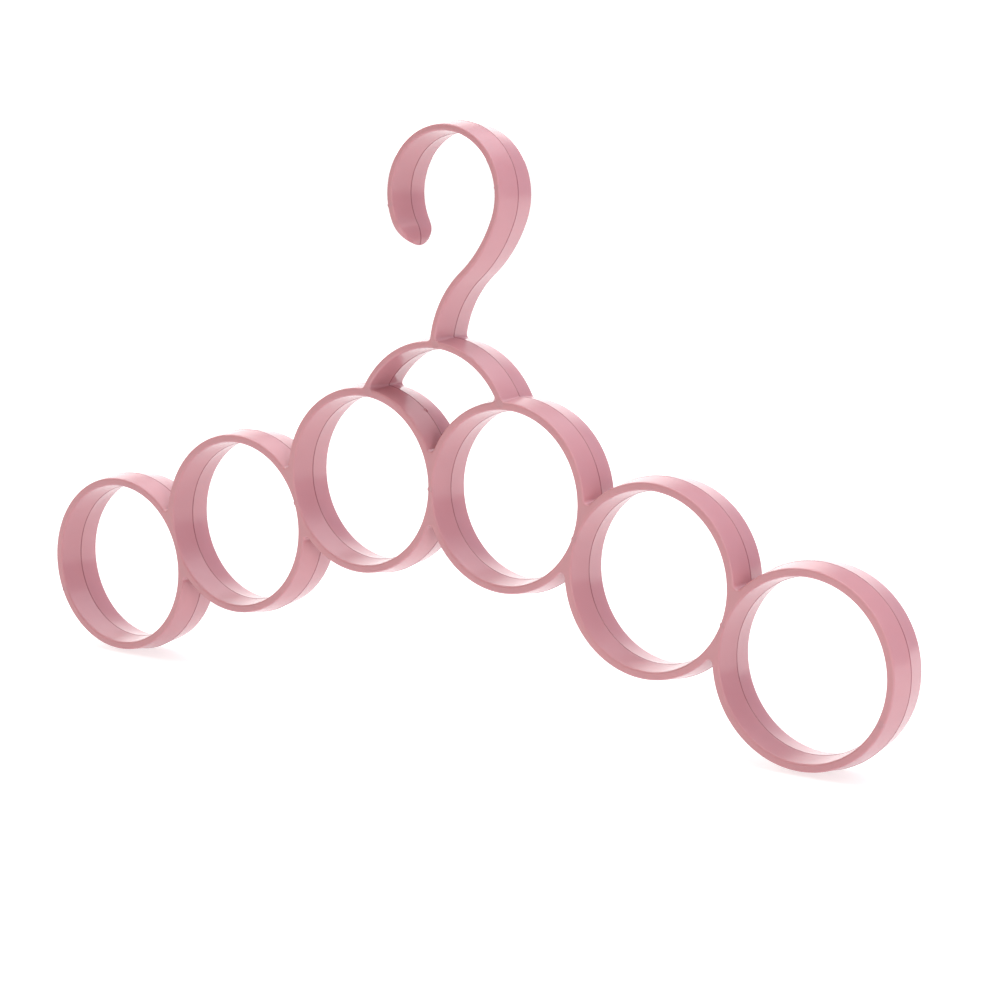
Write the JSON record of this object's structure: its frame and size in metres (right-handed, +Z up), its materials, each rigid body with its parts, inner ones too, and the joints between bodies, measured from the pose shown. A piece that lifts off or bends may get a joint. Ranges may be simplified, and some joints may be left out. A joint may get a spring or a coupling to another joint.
{
  "type": "scarf hanger",
  "caption": "Moulded plastic scarf hanger: a row of round rings on two sloping arms, a low arch between them and a swan-neck hook for a wardrobe rail.",
  "frame": {"origin": "the highest point of the inside of the hook at mid depth, where the hanger rests on its rail", "axes": "+X along the row of rings toward the side the hook's stem leans to, +Z up, the front faces -Y"},
  "size_m": [0.3769, 0.02, 0.2116],
  "materials": {
    "pink_plastic": "smooth satin gloss, dusty rose pink, moulded in one piece"
  },
  "bodies": {
    "root": {"ring_1": "pink_plastic", "ring_2": "pink_plastic", "ring_3": "pink_plastic", "ring_4": "pink_plastic", "ring_5": "pink_plastic", "ring_6": "pink_plastic", "arch": "pink_plastic", "hook_stem": "pink_plastic", "hook_bow": "pink_plastic", "hook_tip": "pink_plastic"}
  },
  "joints": []
}
